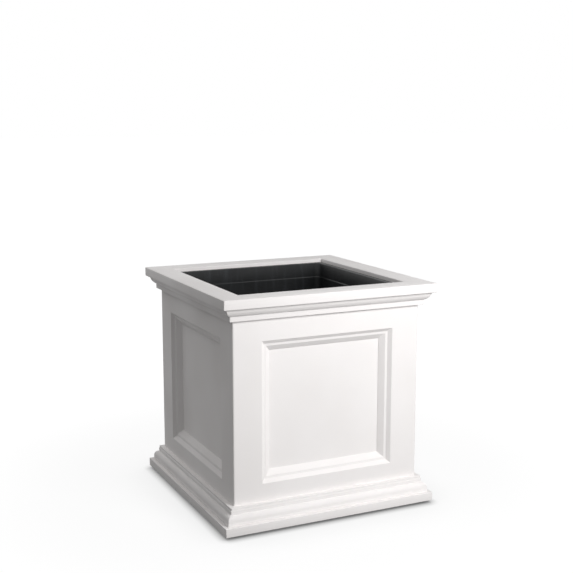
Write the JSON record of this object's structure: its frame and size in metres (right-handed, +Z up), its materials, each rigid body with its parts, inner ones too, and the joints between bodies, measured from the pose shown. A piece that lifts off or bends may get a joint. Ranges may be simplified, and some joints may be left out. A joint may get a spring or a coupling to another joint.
{
  "type": "versailles planter",
  "caption": "Square white panelled planter box with a moulded cap and a moulded plinth, on low feet, holding a dark lift-out liner with drain holes.",
  "frame": {"origin": "middle of the footprint, on the floor", "axes": "+Z up, the front panel faces -Y, +X to the right of the front"},
  "size_m": [0.508, 0.508, 0.508],
  "materials": {
    "white_board": "satin white paint on cellular PVC board, with a faint embossed grain",
    "floor_board": "unpainted white cellular PVC board, sawn edges",
    "liner_plastic": "moulded black polypropylene, fine matt grain",
    "foot_rubber": "matt moulded rubber",
    "beech": "turned and sawn beech",
    "zinc_screw": "bright zinc plate"
  },
  "bodies": {
    "box": {"front_left_post": "white_board", "front_right_post": "white_board", "back_right_post": "white_board", "back_left_post": "white_board", "front_bottom_rail": "white_board", "right_bottom_rail": "white_board", "back_bottom_rail": "white_board", "left_bottom_rail": "white_board", "front_top_rail": "white_board", "right_top_rail": "white_board", "back_top_rail": "white_board", "left_top_rail": "white_board", "front_panel": "white_board", "right_panel": "white_board", "back_panel": "white_board", "left_panel": "white_board", "front_panel_moulding_bottom": "white_board", "front_panel_moulding_left": "white_board", "front_panel_moulding_top": "white_board", "front_panel_moulding_right": "white_board", "right_panel_moulding_bottom": "white_board", "right_panel_moulding_left": "white_board", "right_panel_moulding_top": "white_board", "right_panel_moulding_right": "white_board", "back_panel_moulding_bottom": "white_board", "back_panel_moulding_left": "white_board", "back_panel_moulding_top": "white_board", "back_panel_moulding_right": "white_board", "left_panel_moulding_bottom": "white_board", "left_panel_moulding_left": "white_board", "left_panel_moulding_top": "white_board", "left_panel_moulding_right": "white_board", "front_plinth_board": "white_board", "right_plinth_board": "white_board", "back_plinth_board": "white_board", "left_plinth_board": "white_board", "front_base_moulding": "white_board", "right_base_moulding": "white_board", "back_base_moulding": "white_board", "left_base_moulding": "white_board", "front_cap_board": "white_board", "right_cap_board": "white_board", "back_cap_board": "white_board", "left_cap_board": "white_board", "front_crown_moulding": "white_board", "right_crown_moulding": "white_board", "back_crown_moulding": "white_board", "left_crown_moulding": "white_board", "floor_slat_1": "floor_board", "floor_slat_2": "floor_board", "floor_slat_3": "floor_board", "floor_slat_4": "floor_board", "floor_bearer": "floor_board", "feet": "foot_rubber", "cap_dowels": "beech", "mitre_splines": "beech", "plinth_screws": "zinc_screw", "floor_screws": "zinc_screw", "panel_screws": "zinc_screw"},
    "liner": {"liner": "liner_plastic"}
  },
  "joints": [
    {"name": "liner_lift", "type": "slide", "parent": "box", "child": "liner", "axis": [0, 0, 1], "range_m": [0, 0.47]}
  ]
}
